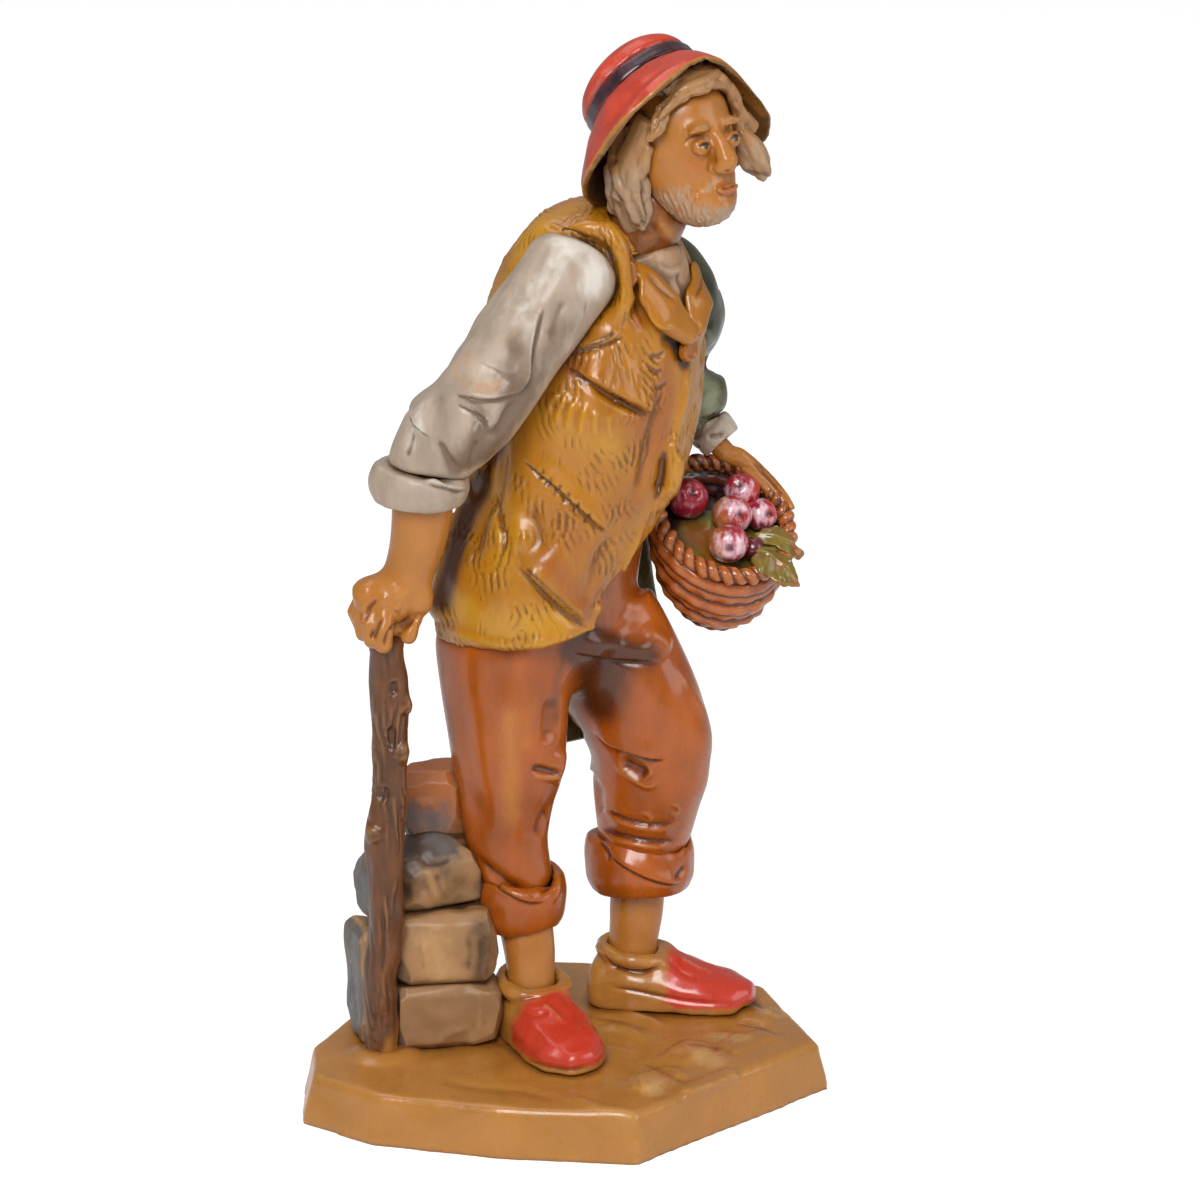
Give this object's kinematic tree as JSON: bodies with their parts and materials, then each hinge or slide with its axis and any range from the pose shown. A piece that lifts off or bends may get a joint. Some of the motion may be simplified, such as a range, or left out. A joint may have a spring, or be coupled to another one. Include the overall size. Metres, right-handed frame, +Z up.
{
  "type": "shepherd figurine",
  "caption": "Standing painted shepherd figurine on its own base, leaning on a staff and holding a basket of fruit, for a nativity scene on a shelf.",
  "frame": {"origin": "on the flat underside of the base, at the middle of its outline", "axes": "+Z up out of the base, -Y the way the figure faces, +X towards the left hand of the figure"},
  "size_m": [0.0939, 0.0804, 0.1886],
  "materials": {
    "bare_cast": "moulded plastic painted ochre, satin varnish",
    "skin": "moulded plastic in a flesh colour, glossy",
    "rock_paint": "painted moulded plastic with a grey wash",
    "bark_paint": "painted moulded plastic, dark brown bark",
    "trouser_paint": "painted moulded plastic, orange brown, glossy",
    "fleece_paint": "painted moulded plastic, ochre yellow, glossy",
    "linen_paint": "painted moulded plastic, off-white with a brown wash",
    "cloak_paint": "painted moulded plastic, olive green, glossy",
    "shoe_paint": "painted moulded plastic, red over ochre",
    "hat_paint": "painted moulded plastic, red, glossy",
    "band_paint": "painted moulded plastic, dark purple",
    "hair_paint": "painted moulded plastic, grey brown",
    "wicker_paint": "painted moulded plastic, orange brown weave",
    "fruit_paint": "painted moulded plastic, crimson with whitish strokes",
    "leaf_paint": "painted moulded plastic, olive green"
  },
  "bodies": {
    "root": {"staff": "bark_paint", "base": "bare_cast", "right_shin": "skin", "left_shin": "skin", "right_shoe": "shoe_paint", "left_shoe": "shoe_paint", "trouser_leg_right": "trouser_paint", "trouser_leg_left": "trouser_paint", "trouser_seat": "trouser_paint", "trouser_cuff_right": "trouser_paint", "trouser_cuff_left": "trouser_paint", "right_forearm_hand": "skin", "right_sleeve_cuff": "linen_paint", "right_sleeve": "linen_paint", "head": "skin", "neck": "skin", "hair_right": "hair_paint", "hair_left": "hair_paint", "hair_back": "hair_paint", "hair_fringe": "hair_paint", "hat_crown": "hat_paint", "hat_band": "band_paint", "hat_brim": "hat_paint", "shirt_front": "linen_paint", "cloak_sleeve": "cloak_paint", "vest": "fleece_paint", "collar_right": "fleece_paint", "collar_left": "fleece_paint", "vest_button": "fleece_paint", "cloak_drape": "cloak_paint", "basket": "wicker_paint", "basket_rim": "wicker_paint", "left_forearm_hand": "skin", "left_sleeve_cuff": "linen_paint", "apple_back": "fruit_paint", "apple_far": "fruit_paint", "apple_middle": "fruit_paint", "apple_side": "fruit_paint", "apple_front": "fruit_paint", "plum": "fruit_paint", "leaf_front": "leaf_paint", "leaf_side": "leaf_paint", "leaf_bed": "leaf_paint", "rock_bottom": "rock_paint", "rock_middle": "rock_paint", "rock_side": "rock_paint", "rock_upper": "rock_paint", "rock_top": "rock_paint"}
  },
  "joints": []
}
